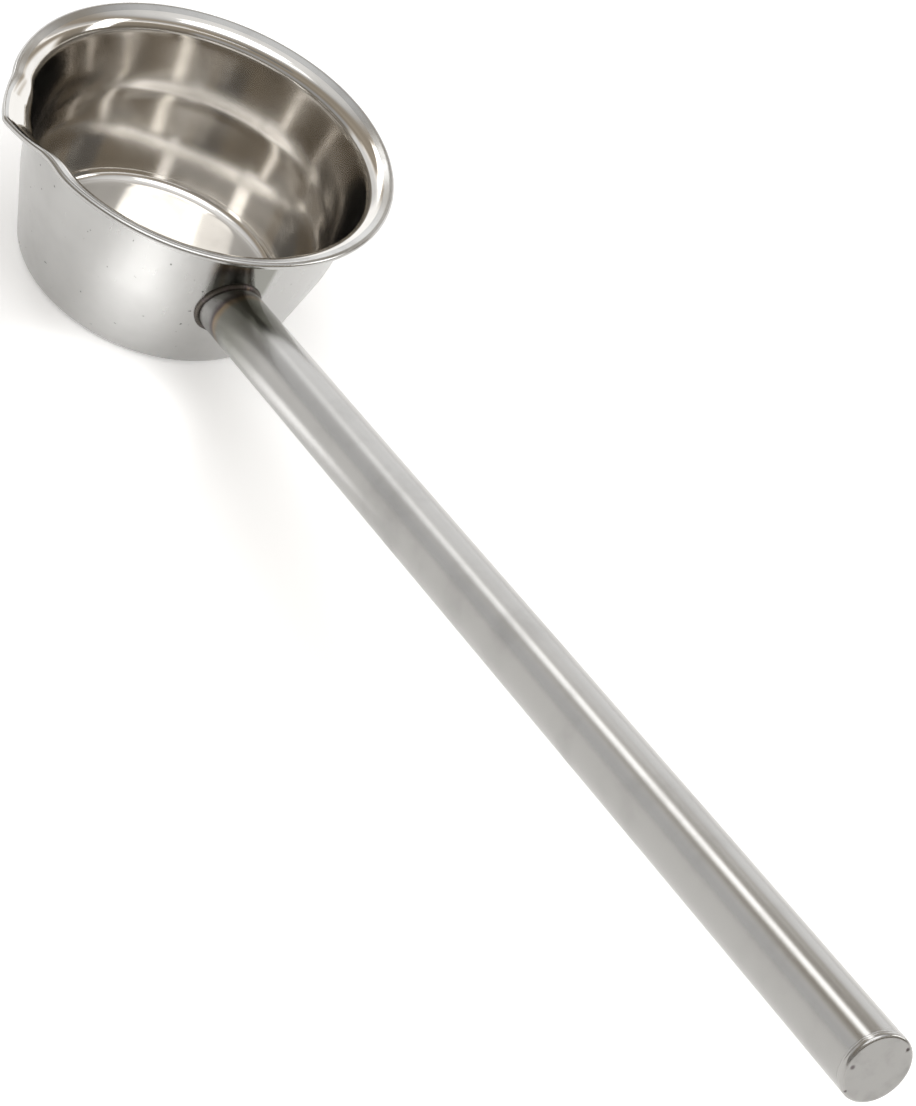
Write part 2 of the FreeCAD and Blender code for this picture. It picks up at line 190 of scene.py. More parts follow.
class Graph:
    """Builds the nodes of one shader or geometry tree."""

    def __init__(self, tree):
        self.tree = tree

    def feed(self, socket, value):
        """Link a socket or set its own value."""
        if isinstance(value, Number):
            value = value.socket
        if isinstance(value, bpy.types.NodeSocket):
            self.tree.links.new(value, socket)
        elif socket.type == "RGBA":
            socket.default_value = (*value[:3], 1.0)
        else:
            socket.default_value = value

    def node(self, kind, settings=None, inputs=None):
        """Add a node: its settings first, then its sockets by name or number."""
        made = self.tree.nodes.new(kind)
        for name, value in (settings or {}).items():
            if name == "stops":
                set_stops(made.color_ramp, value)
            else:
                setattr(made, name, value)
        for name, value in (inputs or {}).items():
            self.feed(made.inputs[name], value)
        return made

    def number(self, socket):
        return Number(self, socket)

    def maths(self, operation, *terms):
        made = self.node("ShaderNodeMath", {"operation": operation}, dict(enumerate(terms)))
        return Number(self, made.outputs[0])

    def hypot(self, x, y):
        return self.maths("SQRT", x * x + y * y)

    def ramp(self, factor, start, end):
        """0 before start, 1 after end, smooth between; start may be the larger."""
        made = self.node("ShaderNodeMapRange", {"interpolation_type": "SMOOTHSTEP"},
                         {"Value": factor, "From Min": start, "From Max": end})
        return Number(self, made.outputs["Result"])

    def blend(self, first, second, factor):
        """Mix of two colours."""
        made = self.node("ShaderNodeMix", {"data_type": "RGBA"}, {0: factor, 6: first, 7: second})
        return made.outputs[2]

    def vector(self, x, y, z):
        return self.node("ShaderNodeCombineXYZ", inputs={0: x, 1: y, 2: z}).outputs[0]

    def split(self, vector):
        made = self.node("ShaderNodeSeparateXYZ", inputs={0: vector})
        return [Number(self, made.outputs[axis]) for axis in range(3)]

    def noise(self, vector, scale=1.0, detail=2.0, roughness=0.5):
        made = self.node("ShaderNodeTexNoise", inputs={
            "Vector": vector, "Scale": scale, "Detail": detail, "Roughness": roughness})
        return Number(self, made.outputs[0])


def set_stops(color_ramp, stops):
    """Give a colour ramp its stops, each a place and a colour."""
    while len(color_ramp.elements) < len(stops):
        color_ramp.elements.new(1.0)
    for element, (place, tone) in zip(color_ramp.elements, stops):
        element.position = place
        element.color = (*tone, 1.0)


def new_material(name):
    """Empty node material and its graph."""
    material = bpy.data.materials.new(name)
    material.use_nodes = True
    material.node_tree.nodes.clear()
    return material, Graph(material.node_tree)


def finish_steel(graph, tone, roughness, bump_height, bump_distance, brushed=0.0):
    """Metal shader fed by a colour, a roughness and a height; brushed spreads glints upright."""
    bump = graph.node("ShaderNodeBump", inputs={
        "Strength": 1.0, "Distance": bump_distance, "Height": bump_height})
    steel = graph.node("ShaderNodeBsdfPrincipled", inputs={
        "Base Color": tone, "Metallic": 1.0, "Roughness": roughness,
        "Anisotropic": brushed, "Anisotropic Rotation": 0.25,
        "Normal": bump.outputs["Normal"]})
    graph.node("ShaderNodeOutputMaterial", inputs={"Surface": steel.outputs[0]})


# ---------------------------------------------------------------- finishes

def object_place(graph):
    return graph.node("ShaderNodeTexCoord").outputs["Object"]


def round_the_bowl(graph):
    """Place, and as numbers its distance from the axis, its height and its angle."""
    place = object_place(graph)
    x, y, z = graph.split(place)
    return place, graph.hypot(x, y), z, graph.maths("ARCTAN2", y, x)


def darker(tone, factor):
    """A colour of the settings, every channel multiplied."""
    return [channel * factor for channel in tone]


def polished_inside(tones):
    """Polished steel with broad rings from the wheel, faint smudges and a thin film."""
    material, graph = new_material("polished_inside")
    place, out, height, turn = round_the_bowl(graph)
    rings = graph.noise(graph.vector(out * 160.0, height * 160.0, turn * 1.5))
    smudge = graph.noise(place, scale=38.0, detail=4.0, roughness=0.55)
    film = graph.noise(place, scale=11.0)
    tone = graph.blend(tones.inside, darker(tones.inside, 0.90), graph.ramp(smudge, 0.42, 0.72))
    roughness = 0.07 + graph.ramp(smudge, 0.40, 0.75) * 0.05 + film * 0.03 + rings * 0.02
    finish_steel(graph, tone, roughness, rings, bump_distance=0.001 * MM)
    return material


def satin_outside(tones):
    """Satin steel: upright streaks, smudges, small specks, and a painted dark reflection of the handle
    above the root.
    """
    material, graph = new_material("satin_outside")
    place, out, height, turn = round_the_bowl(graph)
    streaks = graph.noise(graph.vector(turn * 60.0, height * 110.0, out * 40.0),
                          detail=4.0, roughness=0.6)
    grain = graph.noise(graph.vector(turn * 420.0, height * 900.0, out * 900.0), roughness=0.6)
    smudge = graph.noise(place, scale=26.0, detail=4.0, roughness=0.6)
    speck = graph.ramp(graph.noise(place, scale=420.0, detail=1.0), 0.755, 0.785)
    x, y, _ = graph.split(place)
    # painted reflection: a dark strip as wide as the handle, from above the root up to the rim, stands
    # for the handle's reflection in the wall
    smoke_and_reflection = (graph.ramp(graph.maths("ABSOLUTE", y), 12.5 * MM, 10 * MM)
             * graph.ramp(x, 0.0, 10 * MM) * graph.ramp(height, 40 * MM, 46 * MM))
    tone = graph.blend(tones.outside, darker(tones.outside, 0.90), graph.ramp(smudge, 0.40, 0.80))
    tone = graph.blend(tone, darker(tones.outside, 0.45), speck)
    tone = graph.blend(tone, tones.smoke_and_reflection, smoke_and_reflection * 0.85)
    roughness = (0.25 + streaks * 0.07 + graph.ramp(smudge, 0.45, 0.75) * 0.08
                 + speck * 0.2 - smoke_and_reflection * 0.12)
    finish_steel(graph, tone, roughness, grain - speck * 2.0, bump_distance=0.002 * MM, brushed=0.6)
    return material


def rolled_rim(tones):
    """Polished edge of the bowl, duller than its inside, with a scuffed face."""
    material, graph = new_material("rolled_rim")
    place, out, height, turn = round_the_bowl(graph)
    lines = graph.noise(graph.vector(turn * 8.0, out * 1500.0, height * 1500.0),
                        detail=3.0, roughness=0.6)
    scuffs = graph.noise(place, scale=70.0, detail=4.0, roughness=0.6)
    tone = graph.blend(tones.outside, darker(tones.outside, 0.88), graph.ramp(scuffs, 0.42, 0.75))
    roughness = 0.17 + lines * 0.05 + graph.ramp(scuffs, 0.45, 0.75) * 0.07
    finish_steel(graph, tone, roughness, lines, bump_distance=0.005 * MM)
    return material


def along_the_handle(graph, sizes):
    """Place along the handle's axis from the wall, and the two offsets across it."""
    root = handle_root(sizes)
    shifted = graph.node("ShaderNodeVectorMath", {"operation": "SUBTRACT"},
                         {0: object_place(graph), 1: root}).outputs[0]

    def along(direction):
        made = graph.node("ShaderNodeVectorMath", {"operation": "DOT_PRODUCT"},
                          {0: shifted, 1: direction})
        return graph.number(made.outputs["Value"])

    axis, up, side = handle_axes(sizes)
    return along(axis), along(up), along(side)


def satin_tube(tones, sizes):
    """Drawn tube: lengthwise lines, a faint seam, and heat tint beside the root weld."""
    material, graph = new_material("satin_tube")
    run, up, side = along_the_handle(graph, sizes)
    turn = graph.maths("ARCTAN2", side, up)
    lines = graph.noise(graph.vector(run * 9.0, turn * 90.0, 0.0), detail=3.0, roughness=0.6)
    grain = graph.noise(graph.vector(run * 260.0, turn * 70.0, 1.0), detail=3.0, roughness=0.6)
    smudge = graph.noise(graph.vector(run, up, side), scale=34.0, detail=4.0, roughness=0.6)
    uneven_run = run + (smudge - 0.5) * (6 * MM)
    tints_per_metre = 18.0    # the stops cover the first 56 mm of the tube
    tint = graph.node("ShaderNodeValToRGB", {"stops": [
        (0.00, tones.scale), (0.05, darker(tones.tube, 0.90)),
        (0.15, darker(tones.tube, 0.80)), (0.20, tones.violet),
        (0.235, tones.straw), (0.29, tones.smoke_and_reflection), (0.50, tones.smoke_and_reflection),
        (1.00, tones.tube)]}, {0: uneven_run * tints_per_metre}).outputs["Color"]
    seam_turn, seam_half = 0.62, 0.035
    seam = graph.ramp(graph.maths("ABSOLUTE", turn - seam_turn), seam_half, 0.01)
    worn = graph.ramp(smudge, 0.45, 0.85) * graph.ramp(run, 20 * MM, 50 * MM)
    tone = graph.blend(tint, darker(tones.tube, 0.84), worn)
    tone = graph.blend(tone, darker(tones.tube, 0.55), seam * 0.6)
    roughness = 0.16 + lines * 0.05 + graph.ramp(smudge, 0.45, 0.78) * 0.07 + grain * 0.03
    finish_steel(graph, tone, roughness, lines + grain * 0.5 - seam * 1.5,
                 bump_distance=0.006 * MM)
    return material


# Pits that grinding left in the cap: angle from its top, distance from its axis, radius, depth.
PITS = ((math.radians(52), 9.6 * MM, 0.75 * MM, 0.28 * MM),
        (math.radians(-128), 10.2 * MM, 0.55 * MM, 0.22 * MM),
        (math.radians(-80), 8.6 * MM, 0.9 * MM, 0.10 * MM))


def ground_cap(tones, sizes):
    """Flat-ground disc: grinding lines across, smudges, a painted highlight on its rounded edge and
    painted shade in its pits.
    """
    material, graph = new_material("ground_cap")
    run, up, side = along_the_handle(graph, sizes)
    lines = graph.noise(graph.vector(up * 300.0, side * 2600.0, 0.0), detail=3.0, roughness=0.6)
    smudge = graph.noise(graph.vector(run, up, side), scale=130.0, detail=4.0, roughness=0.6)
    stain = graph.ramp(smudge, 0.45, 0.80)
    # painted highlight: the ring at the cap's rounded edge is painted lighter and made glossier
    edge = graph.ramp(graph.hypot(up, side), sizes.radius * 0.86, sizes.radius)
    tone = graph.blend(tones.tube, darker(tones.tube, 0.72), stain * 0.7)
    tone = graph.blend(tone, darker(tones.tube, 1.15), edge * 0.4)
    # painted shade: each pit is darkened towards the violet tint
    for turn, out, spread, _ in PITS:
        away = graph.hypot(up - math.cos(turn) * out, side - math.sin(turn) * out)
        tone = graph.blend(tone, tones.violet, graph.ramp(away, spread * 1.2, spread * 0.3) * 0.85)
    roughness = 0.30 + lines * 0.06 + stain * 0.08 - edge * 0.12
    finish_steel(graph, tone, roughness, lines, bump_distance=0.006 * MM)
    return material


def weld_scale(tones):
    """Dark scale left on a weld, with straw and violet where it is thinner."""
    material, graph = new_material("weld_scale")
    place = object_place(graph)
    patches = graph.noise(place, scale=160.0, detail=4.0, roughness=0.6)
    grit = graph.noise(place, scale=1600.0)
    tone = graph.blend(tones.scale, tones.violet, graph.ramp(patches, 0.48, 0.66))
    tone = graph.blend(tone, tones.straw, graph.ramp(patches, 0.60, 0.74) * 0.8)
    finish_steel(graph, tone, 0.30 + grit * 0.12, grit, bump_distance=0.02 * MM)
    return material


# ---------------------------------------------------------------- shapes

def arc_points(centre, radius, start, end, steps):
    """Points on an arc, first and last included."""
    return [(centre[0] + radius * math.cos(start + (end - start) * step / steps),
             centre[1] + radius * math.sin(start + (end - start) * step / steps))
            for step in range(steps + 1)]


def line_points(start, end, steps):
    """Points between two ends, the ends left out."""
    return [tuple(a + (b - a) * step / steps for a, b in zip(start, end))
            for step in range(1, steps)]


class BowlRounds:
    """Centres and angles of the rounds in the bowl's section; its sheet is an even offset."""

    def __init__(self, sizes):
        self.sizes = sizes
        taper, lower, slope = sizes.wall_taper, sizes.lower_taper, sizes.rim_slope
        self.bend = (sizes.knee_radius - sizes.bend_radius * math.cos(taper),
                     sizes.knee_height + sizes.bend_radius * math.sin(taper))
        self.bend_foot = (self.bend[0] + sizes.bend_radius * math.cos(lower),
                          self.bend[1] - sizes.bend_radius * math.sin(lower))
        self.corner = (self.outer_radius(sizes.base_corner) - sizes.base_corner / math.cos(lower),
                       sizes.base_corner)
        self.bead = (sizes.rim_radius - sizes.bead_radius, sizes.height - sizes.bead_radius)
        wall_normal = Vector((math.cos(taper), -math.sin(taper)))
        rim_normal = Vector((-math.sin(slope), math.cos(slope)))
        from_wall = sizes.flare_radius + wall_normal.dot((sizes.knee_radius, sizes.knee_height))
        from_rim = sizes.bead_radius - sizes.sheet - sizes.flare_radius + rim_normal.dot(self.bead)
        spread = wall_normal.x * rim_normal.y - wall_normal.y * rim_normal.x
        self.flare = ((from_wall * rim_normal.y - from_rim * wall_normal.y) / spread,
                      (wall_normal.x * from_rim - rim_normal.x * from_wall) / spread)

    def outer_radius(self, height):
        """Radius of the bowl's outside, below the rim and above the base corner."""
        sizes = self.sizes
        if height > sizes.knee_height:
            return sizes.knee_radius + (height - sizes.knee_height) * math.tan(sizes.wall_taper)
        if height > self.bend_foot[1]:
            return self.bend[0] + math.sqrt(sizes.bend_radius ** 2 - (self.bend[1] - height) ** 2)
        return self.bend_foot[0] - (self.bend_foot[1] - height) * math.tan(sizes.lower_taper)

    def wall(self, inset):
        """Section from the base's edge up to the start of the rim's face."""
        sizes = self.sizes
        taper, lower, slope = sizes.wall_taper, sizes.lower_taper, sizes.rim_slope
        corner = arc_points(self.corner, sizes.base_corner - inset, -math.pi / 2, -lower, 12)
        bend = arc_points(self.bend, sizes.bend_radius - inset, -lower, -taper, 8)
        flare = arc_points(self.flare, sizes.flare_radius + inset,
                           math.pi - taper, math.pi / 2 + slope, 14)
        return (corner + line_points(corner[-1], bend[0], 10) + bend
                + line_points(bend[-1], flare[0], 10) + flare)


def bowl_section(sizes):
    """Closed section of the sheet: inside, then round the rolled edge, then outside."""
    rounds = BowlRounds(sizes)
    slope = sizes.rim_slope
    inside = rounds.wall(sizes.sheet)
    outside = rounds.wall(0.0)
    hang = sizes.bead_radius - sizes.sheet
    meet = -math.pi + slope - math.asin(hang / sizes.bead_radius)
    bead = arc_points(rounds.bead, sizes.bead_radius, math.pi / 2 + slope, meet, 20)
    face = line_points(inside[-1], bead[0], 5)
    underside = line_points(bead[-1], outside[-1], 4)
    floor = line_points((0.0, sizes.sheet), inside[0], 22)
    base = line_points(outside[0], (0.0, 0.0), 12)
    return floor + inside, face + bead + underside, outside[::-1] + base


def new_piece(name, mesh, materials):
    """Object at the origin that holds a finished mesh."""
    piece = bpy.data.objects.new(name, mesh)
    bpy.context.scene.collection.objects.link(piece)
    for material in materials:
        mesh.materials.append(material)
    return piece


def mesh_from(name, build):
    """Smooth mesh filled by build, with its normals outwards."""
    shape = bmesh.new()
    build(shape)
    bmesh.ops.remove_doubles(shape, verts=shape.verts, dist=1e-7)
    bmesh.ops.recalc_face_normals(shape, faces=shape.faces)
    for face in shape.faces:
        face.smooth = True
    mesh = bpy.data.meshes.new(name)
    shape.to_mesh(mesh)
    shape.free()
    return mesh


def bridge(shape, first, second, material=0):
    """Faces between two rings of as many points; a single point closes a cap."""
    steps = max(len(first), len(second))
    for step in range(steps):
        after = (step + 1) % steps
        corners = []
        for ring, order in ((first, (step, after)), (second, (after, step))):
            corners += [ring[0]] if len(ring) == 1 else [ring[place] for place in order]
        shape.faces.new(corners).material_index = material


def close_round_lip(turns):
    """Angles round the bowl, closer together beside the pouring lip at -Y."""
    gather = 0.72
    return [-math.pi / 2 + 2 * math.pi * step / turns - gather * math.sin(2 * math.pi * step / turns)
            for step in range(turns)]


def build_bowl(shape, sizes):
    inside, rim, outside = bowl_section(sizes)
    angles = close_round_lip(sizes.turns)
    rings = [[shape.verts.new((0.0, 0.0, sizes.sheet))]]
    finishes = [0]
    for points, finish in ((inside, 0), (rim, 2), (outside, 1)):
        for radius, height in points:
            rings.append([shape.verts.new((radius * math.cos(turn), radius * math.sin(turn), height))
                          for turn in angles])
            finishes.append(finish)
    rings.append([shape.verts.new((0.0, 0.0, 0.0))])
    for (first, second), finish in zip(zip(rings, rings[1:]), finishes):
        bridge(shape, first, second, finish)


def geometry_tree(name, sizes, materials):
    """Geometry node group with an input for each named size and material, and its graph."""
    tree = bpy.data.node_groups.new(name, "GeometryNodeTree")
    tree.interface.new_socket("Geometry", in_out="INPUT", socket_type="NodeSocketGeometry")
    for titles, kind in ((sizes, "NodeSocketFloat"), (materials, "NodeSocketMaterial")):
        for title in titles:
            tree.interface.new_socket(title, in_out="INPUT", socket_type=kind)
    tree.interface.new_socket("Geometry", in_out="OUTPUT", socket_type="NodeSocketGeometry")
    graph = Graph(tree)
    entry = graph.node("NodeGroupInput")
    return tree, graph, entry


def pull_lip_tree():
    """Rule that pulls the pouring lip out of a round rim and gives the sheet its slow ripple."""
    titles = ("Rim radius", "Height", "Reach", "Edge", "Half width", "Depth", "Tip round",
              "Dip", "Swell", "Lean", "Face width", "Ripple")
    finishes = ("Inside finish", "Outside finish", "Rim finish")
    tree, graph, entry = geometry_tree("Pull the lip", titles, finishes)
    size = {title: graph.number(entry.outputs[title]) for title in titles}
    place = graph.node("GeometryNodeInputPosition").outputs[0]
    x, y, z = graph.split(place)
    out = graph.hypot(x, y)
    depth = size["Height"] - z
    lip_side = graph.ramp(y, 0.0, -20 * MM)

    # The pull is whole on the rolled edge and fades to nothing down the wall.
    rolled = 2 * MM
    sunk = graph.maths("MAXIMUM", (depth - rolled) / (size["Depth"] - rolled), 0.0)
    fade = graph.maths("MAXIMUM", 1.0 - sunk, 0.0) ** 2.0

    # Seen from above it is a wedge with a blunt tip, wider away from the handle.
    blunt = size["Tip round"] * 0.45
    aside = graph.hypot(x, blunt) - blunt
    lean = 1.0 + size["Lean"] * graph.ramp(x, 4 * MM, -4 * MM)
    narrowing = 0.6
    width = size["Half width"] * lean * (1.0 - graph.maths("MINIMUM", sunk, 1.0) * narrowing)
    wedge = 1.0 - aside / width
    kink = 0.07
    soft_wedge = (wedge + graph.maths("SQRT", wedge * wedge + kink * kink)) * 0.5

    # The face's inner edge is pulled further than the rim, so the face narrows to the tip.
    rim_pull = size["Reach"] - size["Rim radius"]
    face_pull = rim_pull + size["Face width"] - size["Edge"]
    inward = (size["Rim radius"] - out) / size["Face width"]
    inward = graph.maths("MINIMUM", graph.maths("MAXIMUM", inward, 0.0), 1.0)
    narrow = graph.maths("MINIMUM", soft_wedge * 2.2, 1.0)
    moved = (rim_pull * soft_wedge + (face_pull - rim_pull) * inward * narrow) * fade

    def hump(centre, spread):
        """1 at a place beside the lip, falling away smoothly on both sides."""
        offset = (x - centre) / spread
        return graph.maths("EXPONENT", -(offset * offset))

    moved = moved - size["Dip"] * hump(22 * MM, 7 * MM) * fade
    moved = moved + size["Swell"] * hump(-30 * MM, 12 * MM) * fade
    ripple = (graph.noise(place, scale=24.0, detail=1.0) - 0.5) * size["Ripple"]
    moved = moved * lip_side + ripple * graph.ramp(out, 20 * MM, 50 * MM)
    offset = graph.vector(x / out * moved, y / out * moved, 0.0)
    shaped = graph.node("GeometryNodeSetPosition", inputs={
        "Geometry": entry.outputs["Geometry"], "Offset": offset})
    finished = graph.node("GeometryNodeRealizeInstances", inputs={0: shaped.outputs[0]})
    slot = graph.number(graph.node("GeometryNodeInputMaterialIndex").outputs[0])
    part = [graph.maths("COMPARE", slot, float(index), 0.5) for index in range(len(finishes))]
    for chosen, title in zip(part, finishes):
        finished = graph.node("GeometryNodeSetMaterial", inputs={
            "Geometry": finished.outputs[0], "Selection": chosen, "Material": entry.outputs[title]})
    graph.node("NodeGroupOutput", inputs={0: finished.outputs[0]})
    return tree


def apply_tree(piece, tree, values):
    """Run a geometry tree on a piece and keep its result as a plain mesh."""
    modifier = piece.modifiers.new(tree.name, "NODES")
    modifier.node_group = tree
    for item in tree.interface.items_tree:
        if item.in_out == "INPUT" and item.name in values:
            modifier[item.identifier] = values[item.name]
    evaluated = piece.evaluated_get(bpy.context.evaluated_depsgraph_get())
    mesh = bpy.data.meshes.new_from_object(evaluated)
    mesh.name = piece.name
    piece.modifiers.remove(modifier)
    piece.data = mesh


def weld_tree():
    """Rule that lays a rippled bead along a closed path."""
    titles = ("Radius", "Pitch", "Ripple", "Roughness", "Steps")
    tree, graph, entry = geometry_tree("Lay the bead", titles, ("Material",))
    path = graph.node("GeometryNodeMeshToCurve", inputs={"Mesh": entry.outputs["Geometry"]})
    around = graph.number(graph.node("GeometryNodeCurveLength", inputs={0: path.outputs[0]}).outputs[0])
    count = graph.maths("ROUND", around / entry.outputs["Pitch"])
    even = graph.node("GeometryNodeResampleCurve", inputs={
        "Curve": path.outputs[0], "Count": entry.outputs["Steps"]})
    along = graph.number(graph.node("GeometryNodeSplineParameter").outputs["Factor"])
    kept = graph.node("GeometryNodeCaptureAttribute")
    kept.capture_items.new("FLOAT", "Along")
    graph.feed(kept.inputs["Geometry"], even.outputs[0])
    graph.feed(kept.inputs["Along"], along)
    section = graph.node("GeometryNodeCurvePrimitiveCircle", inputs={
        "Resolution": 18, "Radius": entry.outputs["Radius"]})
    bead = graph.node("GeometryNodeCurveToMesh", inputs={
        "Curve": kept.outputs["Geometry"], "Profile Curve": section.outputs[0]})
    wave = graph.maths("ABSOLUTE", graph.maths("SINE", count * math.pi * kept.outputs["Along"]))
    place = graph.node("GeometryNodeInputPosition").outputs[0]
    lumps = graph.noise(place, scale=190.0) - 0.5
    proud = wave * entry.outputs["Ripple"] + lumps * entry.outputs["Roughness"]
    normal = graph.node("GeometryNodeInputNormal").outputs[0]
    offset = graph.node("ShaderNodeVectorMath", {"operation": "SCALE"}, {0: normal, "Scale": proud})
    shaped = graph.node("GeometryNodeSetPosition", inputs={
        "Geometry": bead.outputs[0], "Offset": offset.outputs[0]})
    smooth = graph.node("GeometryNodeSetShadeSmooth", inputs={"Geometry": shaped.outputs[0]})
    realized = graph.node("GeometryNodeRealizeInstances", inputs={0: smooth.outputs[0]})
    finished = graph.node("GeometryNodeSetMaterial", inputs={
        "Geometry": realized.outputs[0], "Material": entry.outputs["Material"]})
    graph.node("NodeGroupOutput", inputs={0: finished.outputs[0]})
    return tree


def handle_axes(sizes):
    """Unit directions of the handle: along it, across it upwards, and sideways."""
    axis = Vector((math.cos(sizes.rise), 0.0, math.sin(sizes.rise)))
    return axis, Vector((-axis.z, 0.0, axis.x)), Vector((0.0, 1.0, 0.0))


def handle_root(sizes):
    """Point where the handle's axis meets the outside of the wall."""
    rounds = BowlRounds(bpy.context.scene.pot_bowl)
    return Vector((rounds.outer_radius(sizes.root_height), 0.0, sizes.root_height))


def handle_point(sizes, run, out, turn):
    """Point beside the handle's axis; turn is 0 at the top."""
    axis, up, side = handle_axes(sizes)
    return handle_root(sizes) + axis * run + (up * math.cos(turn) + side * math.sin(turn)) * out


def wall_run(sizes, out, turn):
    """How far along its axis a line beside the handle leaves the outside of the wall."""
    rounds = BowlRounds(bpy.context.scene.pot_bowl)
    halvings = 30
    low, high = -sizes.radius * 1.2, sizes.radius * 1.2
    for _ in range(halvings):
        middle = (low + high) / 2
        point = handle_point(sizes, middle, out, turn)
        if math.hypot(point.x, point.y) < rounds.outer_radius(point.z):
            low = middle
        else:
            high = middle
    return middle


def full_turn(steps):
    """Angles of even steps round a circle."""
    return [2 * math.pi * step / steps for step in range(steps)]


def build_tube(shape, sizes):
    """Tube with an open bore; its root is cut to the wall and runs a little way into it."""
    turns = full_turn(TUBE_STEPS)
    lengths = 60
    bite = 0.4 * MM
    end = sizes.run - sizes.cap_thickness

    def ring(out, part):
        runs = [(wall_run(sizes, out, turn) - bite) * (1 - part) + end * part for turn in turns]
        return [shape.verts.new(handle_point(sizes, run, out, turn))
                for run, turn in zip(runs, turns)]

    parts = [step / lengths for step in range(lengths + 1)]
    rings = [ring(sizes.radius, part) for part in parts]
    rings += [ring(sizes.radius - sizes.wall, part) for part in reversed(parts)]
    for first, second in zip(rings, rings[1:] + rings[:1]):
        bridge(shape, first, second)


def build_turned(shape, sizes, corners, steps, closed):
    """Ring or disc turned about the handle's axis from runs and distances."""
    rings = []
    for run, out in corners:
        turns = full_turn(steps) if out > 0 else [0.0]
        rings.append([shape.verts.new(handle_point(sizes, run, out, turn)) for turn in turns])
    pairs = list(zip(rings, rings[1:]))
    if closed:
        pairs.append((rings[-1], rings[0]))
    for first, second in pairs:
        bridge(shape, first, second)


def cap_corners(sizes):
    """Section of the cap: skirt in the bore, edge, rounding and flat face."""
    clearance, skirt_depth, bevel = 0.1 * MM, 4 * MM, 0.25 * MM
    seam = sizes.run - sizes.cap_thickness
    skirt = sizes.radius - sizes.wall - clearance
    skirt_end = seam - skirt_depth
    face = sizes.radius - sizes.cap_round
    rounding = arc_points((sizes.run - sizes.cap_round, face), sizes.cap_round, math.pi / 2, 0.0, 10)
    rings = 24
    return ([(seam, 0.0), (seam, skirt - sizes.wall), (skirt_end, skirt - sizes.wall),
             (skirt_end, skirt), (seam, skirt), (seam, sizes.radius - bevel),
             (seam + bevel, sizes.radius)]
            + rounding
            + [(sizes.run, face * (1 - step / rings)) for step in range(1, rings + 1)])


def seam_corners(sizes):
    """Section of the ground seam: a shallow bead with its foot in the tube and the cap."""
    seam = sizes.run - sizes.cap_thickness
    foot, proud = sizes.radius - 0.3 * MM, sizes.radius + 0.02 * MM
    half, shoulder, crown = 0.5 * MM, 0.45 * MM, 0.2 * MM
    return [(seam - half, foot), (seam - shoulder, sizes.radius), (seam - crown, proud),
            (seam + crown, proud), (seam + shoulder, sizes.radius), (seam + half, foot)]


def build_cap(shape, sizes):
    """Cap with small pits left by the grinding near its edge."""
    build_turned(shape, sizes, cap_corners(sizes), CAP_STEPS, closed=False)
    axis = handle_axes(sizes)[0]
    pits = [(handle_point(sizes, sizes.run, out, turn), spread, depth)
            for turn, out, spread, depth in PITS]
    for vertex in shape.verts:
        for centre, spread, depth in pits:
            away = (vertex.co - centre).length / spread
            if away < 1:
                vertex.co -= axis * depth * (1 - away * away) ** 2


# ---------------------------------------------------------------- operators

class POT_OT_bowl(bpy.types.Operator):
    """Make the pressed bowl with its pouring lip"""
    bl_idname = "pot.bowl"
    bl_label = "Bowl"

    def execute(self, context):
        sizes, lip, tones = context.scene.pot_bowl, context.scene.pot_lip, context.scene.pot_steel
        mesh = mesh_from("bowl_shell", lambda shape: build_bowl(shape, sizes))
        finishes = [polished_inside(tones), satin_outside(tones), rolled_rim(tones)]
        bowl = new_piece("bowl_shell", mesh, finishes)
        inside = bowl_section(sizes)[0]
        apply_tree(bowl, pull_lip_tree(), {
            "Rim radius": sizes.rim_radius, "Height": sizes.height, "Reach": lip.reach,
            "Edge": lip.edge, "Half width": lip.half_width, "Depth": lip.depth,
            "Tip round": lip.tip_round, "Dip": lip.dip, "Swell": lip.swell, "Lean": lip.lean,
            "Face width": sizes.rim_radius - inside[-1][0], "Ripple": 0.05 * MM,
            "Inside finish": finishes[0], "Outside finish": finishes[1],
            "Rim finish": finishes[2]})
        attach(bowl, BODY)
        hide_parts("bowl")
        return {"FINISHED"}


class POT_OT_handle(bpy.types.Operator):
    """Make the handle's tube"""
    bl_idname = "pot.handle"
    bl_label = "Handle tube"

    def execute(self, context):
        sizes, tones = context.scene.pot_handle, context.scene.pot_steel
        mesh = mesh_from("handle_shell", lambda shape: build_tube(shape, sizes))
        tube = new_piece("handle_shell", mesh, [satin_tube(tones, sizes)])
        mesh.set_sharp_from_angle(angle=SHARP)
        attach(tube, BODY)
        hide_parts("handle_tube")
        return {"FINISHED"}


class POT_OT_cap(bpy.types.Operator):
    """Make the cap and the ground seam that joins it to the tube"""
    bl_idname = "pot.cap"
    bl_label = "End cap and seam"

    def execute(self, context):
        sizes, tones = context.scene.pot_handle, context.scene.pot_steel
        steel = ground_cap(tones, sizes)
        mesh = mesh_from("cap_disc", lambda shape: build_cap(shape, sizes))
        cap = new_piece("cap_disc", mesh, [steel])
        mesh.set_sharp_from_angle(angle=SHARP)
        ring_mesh = mesh_from("cap_seam", lambda shape: build_turned(
            shape, sizes, seam_corners(sizes), TUBE_STEPS, closed=True))
        ring = new_piece("cap_seam", ring_mesh, [steel])
        for piece, node in ((cap, "end_cap"), (ring, "end_cap_weld")):
            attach(piece, BODY)
            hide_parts(node)
        return {"FINISHED"}


